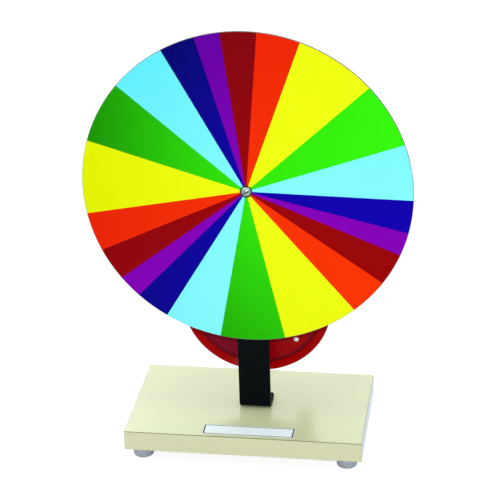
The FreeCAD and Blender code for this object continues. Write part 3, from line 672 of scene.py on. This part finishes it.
# %% Centre screw and its washer
def slotted_finish(name, node, head_height):
    """Plated screw whose round head points to the front, with dirt and painted shade in its slot and a
    painted reflection in its tone.
    """
    low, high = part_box(node)
    head_radius = (high.x - low.x) / 2
    ball = (head_radius ** 2 + head_height ** 2) / (2 * head_height)
    middle = Vector(((low.x + high.x) / 2, low.y + ball, (low.z + high.z) / 2))
    finish = Finish(name, Metallic=1.0)
    out = finish.node(
        "ShaderNodeVectorMath", {"operation": "DISTANCE"}, {0: finish.place, 1: middle}, "Value"
    )
    # Dirt and painted shade in the slot.
    slot_dirt_and_shade = finish.ramp(out, ball - 0.1 * MM, ball - 0.3 * MM)
    cloud = finish.noise(0.0015, 4.0, 0.6)
    # Painted reflection: the dark greenish tone stands in for the green and yellow film that the head
    # mirrors.
    tone = finish.mix(cloud, (0.20, 0.27, 0.26), (0.44, 0.53, 0.51))
    finish.feed("Base Color", finish.mix(slot_dirt_and_shade * 0.9, tone, (0.018, 0.022, 0.020)))
    finish.feed("Roughness", 0.22 + 0.14 * cloud + 0.4 * slot_dirt_and_shade)
    finish.bump(finish.noise(0.0005, 3.0), 0.00002)
    print(name, "has a ball of", round(ball / MM, 2), "mm")
    return finish


def dark_washer_finish():
    finish = Finish("dark_washer", Metallic=1.0)
    cloud = finish.noise(0.002, 4.0, 0.6)
    # Painted reflection: the washer is nearly black, standing in for the dark surroundings that it
    # mirrors.
    finish.feed("Base Color", finish.mix(cloud, (0.014, 0.018, 0.016), (0.050, 0.060, 0.056)))
    finish.feed("Roughness", 0.26 + 0.16 * cloud)
    finish.bump(finish.noise(0.0004, 3.0), 0.00002)
    return finish


centre_head_height = 2.5 * MM
paint(slotted_finish("centre_nickel", "centre_screw", centre_head_height), "centre_screw")
paint(dark_washer_finish(), "centre_washer")

# %% [markdown]
# ## Small running pieces
#
# The bushes are sintered bronze, which is full of tiny pores that hold oil. The thrust washers are
# natural nylon and the grub screws are blackened. Pores are small cells whose middles sink in.

# %% Bronze, nylon and blackened steel
def bronze_finish():
    finish = Finish("sintered_bronze", Metallic=1.0)
    pore = finish.ramp(finish.cells(0.0005, {}, "Distance"), 0.1, 0.35)
    cloud = finish.noise(0.004, 3.0)
    tone = finish.mix(cloud, (0.50, 0.30, 0.13), (0.66, 0.44, 0.21))
    finish.feed("Base Color", finish.mix(pore, (0.20, 0.12, 0.05), tone))
    finish.feed("Roughness", 0.48 - 0.12 * pore)
    finish.bump(pore, 0.00004)
    return finish


def nylon_finish():
    finish = Finish("natural_nylon", Specular_IOR_Level=0.45)
    cloud = finish.noise(0.002, 3.0)
    finish.feed("Base Color", finish.mix(cloud, (0.70, 0.69, 0.62), (0.82, 0.81, 0.76)))
    finish.feed("Roughness", 0.42 + 0.1 * cloud)
    finish.bump(cloud, 0.00003)
    return finish


def blackened_finish():
    finish = Finish("blackened_steel", Metallic=0.6)
    cloud = finish.noise(0.0012, 4.0)
    finish.feed("Base Color", finish.mix(cloud, (0.018, 0.018, 0.02), (0.05, 0.05, 0.055)))
    finish.feed("Roughness", 0.4 + 0.2 * cloud)
    finish.bump(cloud, 0.00002)
    return finish


paint(bronze_finish(), "shaft_bushes", "wheel_bush")
paint(nylon_finish(), "thrust_washers")
paint(blackened_finish(), "hub_grub_screw", "pulley_grub_screw")

# %% [markdown]
# ## Rubber and the grip
#
# The feet are grey moulded rubber and the belt is black rubber cord. Rubber is dull and a little
# chalky where it has been handled. The grip is black plastic turned on a lathe, so it has fine rings
# along its length and is polished where the hand holds it.

# %% Rubber and plastic
def rubber_finish(name, tone, chalk, amount, grain):
    finish = Finish(name, Specular_IOR_Level=0.35)
    cloud = finish.ramp(finish.noise(0.006, 5.0, 0.65), 0.3, 0.8)
    fine = finish.noise(grain, 3.0, 0.6)
    finish.feed("Base Color", finish.mix(cloud * amount, tone, chalk))
    finish.feed("Roughness", 0.5 + 0.2 * fine)
    finish.bump(fine, 0.00006)
    return finish


held_middle = 0.62
held_half = 0.38
held_full = 0.1


def grip_finish():
    finish = Finish("turned_plastic", Specular_IOR_Level=0.5, Coat_Weight=0.2, Coat_Roughness=0.15)
    x, y, z = finish.axes()
    rings = finish.rings(y, 0.0005, 2.0)
    along = (y - grip_low.y) / (grip_high.y - grip_low.y)
    held = finish.ramp(abs(along - held_middle), held_half, held_full)
    wear = held * finish.noise(0.012, 4.0)
    finish.feed("Base Color", finish.mix(wear, (0.012, 0.012, 0.013), (0.03, 0.029, 0.028)))
    finish.feed("Roughness", 0.36 - 0.14 * wear + 0.1 * rings)
    finish.bump(rings, 0.00003)
    return finish


grey = (0.33, 0.39, 0.47)
pale_grey = (0.46, 0.51, 0.58)
cord_black = (0.016, 0.016, 0.017)
cord_chalk = (0.06, 0.06, 0.06)
paint(rubber_finish("grey_rubber", grey, pale_grey, 0.6, 0.0012), "rubber_feet")
paint(rubber_finish("black_cord", cord_black, cord_chalk, 0.45, 0.0009), "drive_belt")
paint(grip_finish(), "handle_grip")

# %% [markdown]
# ## The plate on the base
#
# Near the front edge lies a thin pale plate with a printed border. It could be one box with a
# drawn-on line. Modelled by hand it is better: a block with rounded corners, whose top is inset
# twice, so that the narrow ring between the insets can be sunk a little and hold the ink. The ends
# of the ring are wider than its long sides, as in the picture.

# %% Plate
def plate_finish():
    finish = Finish("plate_face", Specular_IOR_Level=0.2, Coat_Weight=0.1, Coat_Roughness=0.08)
    cloud = finish.noise(0.02, 4.0)
    finish.feed("Base Color", finish.mix(cloud, (0.68, 0.79, 0.83), (0.77, 0.86, 0.89)))
    finish.feed("Roughness", 0.40 + 0.10 * finish.ramp(finish.noise(0.012, 5.0), 0.3, 0.9))
    finish.bump(finish.noise(0.0015, 2.0), 0.00001)
    return finish


def ink_finish():
    finish = Finish("border_ink", Specular_IOR_Level=0.3)
    worn = finish.ramp(finish.noise(0.0012, 4.0, 0.7), 0.55, 0.8)
    tone = finish.mix(worn * 0.5, (0.020, 0.030, 0.045), (0.15, 0.19, 0.22))
    finish.feed("Base Color", tone)
    finish.feed("Roughness", 0.5 + 0.15 * worn)
    finish.bump(worn, 0.00001)
    return finish


def pick(piece, kind, wanted):
    """Go to edit mode with the edges or faces selected that pass a test."""
    bpy.ops.object.mode_set(mode="EDIT")
    bpy.ops.mesh.select_mode(type=kind)
    bpy.ops.mesh.select_all(action="DESELECT")
    bpy.ops.object.mode_set(mode="OBJECT")
    found = piece.data.edges if kind == "EDGE" else piece.data.polygons
    for item in found:
        item.select = wanted(item)
    chosen = sum(item.select for item in found)
    bpy.ops.object.mode_set(mode="EDIT")
    return chosen


plate_low, plate_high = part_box("label_plate")
plate_size = plate_high - plate_low
plate_middle = (plate_low + plate_high) / 2
bpy.ops.object.select_all(action="DESELECT")
bpy.ops.mesh.primitive_cube_add(size=1.0, location=plate_middle, scale=plate_size)
plate = bpy.context.object
plate.name = "name_plate"
bpy.ops.object.transform_apply(location=True, rotation=True, scale=True)


def stands(edge):
    """An edge of the plate that runs up."""
    first, second = (plate.data.vertices[index].co for index in edge.vertices)
    return abs(first.z - second.z) > plate_size.z / 2


border_margin = 0.4 * MM
border_line = 0.9 * MM
border_ends = 0.5 * MM
border_sink = 0.06 * MM
panel_least_area = 100 * MM * MM  # between the ring's faces and the panel in size
corner_radius = 0.3 * MM
corner_steps = 4


def faces_up(face):
    return face.normal.z > 0.9


pick(plate, "FACE", faces_up)
bpy.ops.mesh.inset(thickness=border_margin)
bpy.ops.mesh.inset(thickness=border_line)
panel_half = plate_size.x / 2 - border_margin - border_line
panel_shrink = 1 - border_ends / panel_half
bpy.ops.transform.resize(
    value=(panel_shrink, 1.0, 1.0), orient_type="GLOBAL", center_override=plate_middle
)
bpy.ops.object.mode_set(mode="OBJECT")


def in_border(face):
    """The ring of faces between the two insets."""
    away = face.center - plate_middle
    inside = abs(away.x) < plate_size.x / 2 - border_margin
    inside = inside and abs(away.y) < plate_size.y / 2 - border_margin
    return faces_up(face) and inside and face.area < panel_least_area


plate.data.materials.append(plate_finish().material)
plate.data.materials.append(ink_finish().material)
border = [face for face in plate.data.polygons if in_border(face)]
for face in border:
    face.material_index = 1
pick(plate, "FACE", in_border)
bpy.ops.transform.translate(value=(0.0, 0.0, -border_sink))
bpy.ops.object.mode_set(mode="OBJECT")
print("plate corners:", pick(plate, "EDGE", stands))
bpy.ops.mesh.bevel(offset=corner_radius, segments=corner_steps)
bpy.ops.object.mode_set(mode="OBJECT")
print("plate faces:", len(plate.data.polygons), "in the border:", len(border))
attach(plate, "stand")
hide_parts("label_plate")

# %% [markdown]
# ## Threads that can be seen
#
# Two threads stand out of their nuts: the fine one of the bearing housing and that of the wheel's
# axle. A thread could be drawn as relief in the metal, but its outline would stay smooth. Here a small
# triangle is wound round the axis by the screw modifier, and its inner side lies inside the metal.

# %% Threads
crest_share = 0.35  # how far the crest stands out of the metal, as a share of the pitch
steps_per_turn = 64
housing_radius = 8.0 * MM
housing_pitch = 0.7 * MM
housing_bare = 0.05 * MM  # without thread at the end
axle_radius = 4.0 * MM
axle_pitch = 0.4 * MM
axle_bare = 0.25 * MM


def thread_ridge(name, axis, radius, pitch, start, end):
    """Closed ridge that winds along Y round an axis, from y = start to y = end."""
    turns = (end - start) / pitch - 1
    corner = pitch / math.sqrt(3)
    middle = radius + crest_share * pitch - corner
    bpy.ops.object.select_all(action="DESELECT")
    bpy.ops.mesh.primitive_circle_add(vertices=3, radius=corner, rotation=(0.0, 0.0, -math.pi / 2))
    ridge = bpy.context.object
    ridge.name = name
    bpy.ops.object.transform_apply(location=True, rotation=True, scale=True)
    bpy.ops.object.mode_set(mode="EDIT")
    bpy.ops.mesh.select_all(action="SELECT")
    bpy.ops.transform.translate(value=(middle, 0.0, 0.0))
    bpy.ops.object.mode_set(mode="OBJECT")
    wind = ridge.modifiers.new("wind", "SCREW")
    wind.axis = "Y"
    wind.angle = 2 * math.pi * turns
    wind.screw_offset = pitch * turns
    wind.steps = int(steps_per_turn * turns)
    wind.render_steps = wind.steps
    wind.use_smooth_shade = False
    bpy.ops.object.modifier_apply(modifier="wind")
    bpy.ops.object.mode_set(mode="EDIT")
    bpy.ops.mesh.select_all(action="SELECT")
    bpy.ops.mesh.fill_holes(sides=3)
    bpy.ops.mesh.normals_make_consistent(inside=False)
    bpy.ops.transform.translate(value=(axis.x, start + pitch / 2, axis.z))
    bpy.ops.object.mode_set(mode="OBJECT")
    ridge.data.materials.append(zinc.material)
    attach(ridge, "stand")
    print(name, "faces:", len(ridge.data.polygons), "turns:", round(turns, 2))


housing_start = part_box("housing_nut")[1].y
housing_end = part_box("bearing_housing")[1].y - housing_bare
axle_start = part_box("wheel_axle")[0].y + axle_bare
axle_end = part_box("axle_nut")[0].y
thread_ridge(
    "housing_thread", disc_axis, housing_radius, housing_pitch, housing_start, housing_end
)
thread_ridge("axle_thread", wheel_axis, axle_radius, axle_pitch, axle_start, axle_end)

# %% [markdown]
# ## Last checks
#
# Every visible piece should have a finish of its own. The pieces without one are printed.

# %% Pieces without a finish
plain = sorted(set(nodes) - painted - {"label_plate"})
print("pieces without a finish:", plain)
